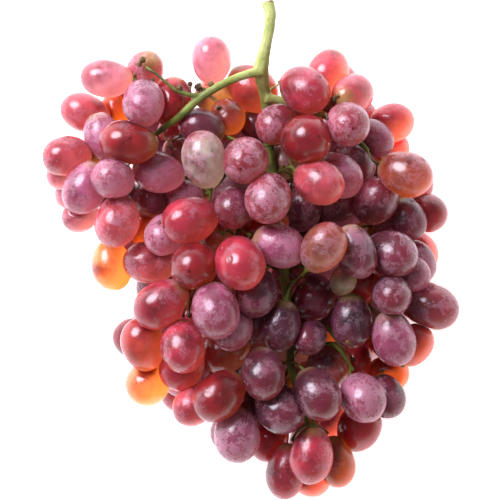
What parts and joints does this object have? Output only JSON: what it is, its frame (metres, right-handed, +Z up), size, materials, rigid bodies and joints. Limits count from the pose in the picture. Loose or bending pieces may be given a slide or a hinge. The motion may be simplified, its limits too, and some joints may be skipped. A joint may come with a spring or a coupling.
{
  "type": "bunch of grapes",
  "caption": "Picked bunch of red table grapes with bloom on the skins, lying on its back with its green cut stalk, tapering from wide shoulders to a round tip.",
  "frame": {"origin": "bottom centre of the bounding box, on the surface that the bunch lies on", "axes": "+Y along the bunch to the cut end of its stalk, +Z up from the surface to the bunch's front, +X across the shoulders"},
  "size_m": [0.1866, 0.2243, 0.0851],
  "materials": {
    "berry_skin": "waxy skin, rose red to plum, with a pale bloom",
    "unripe_skin": "dull green waxy skin",
    "green_stalk": "fresh green stalk, browner at its cut end and twigs"
  },
  "bodies": {
    "root": {"berries_left_wing": "berry_skin", "berries_left_shoulder": "berry_skin", "berries_left_flank": "berry_skin", "berries_crown_right": "berry_skin", "berries_right_shoulder": "berry_skin", "berries_right_wing": "berry_skin", "berries_right_flank": "berry_skin", "berries_middle": "berry_skin", "berries_middle_left": "berry_skin", "berries_lower_left": "berry_skin", "berries_lower_front": "berry_skin", "berries_tail_left": "berry_skin", "berries_tail": "berry_skin", "berries_tail_right": "berry_skin", "berries_under_left": "berry_skin", "berries_under_right": "berry_skin", "berries_under_middle": "berry_skin", "berries_under_tail": "berry_skin", "unripe_berry": "unripe_skin", "stem": "green_stalk"}
  },
  "joints": []
}
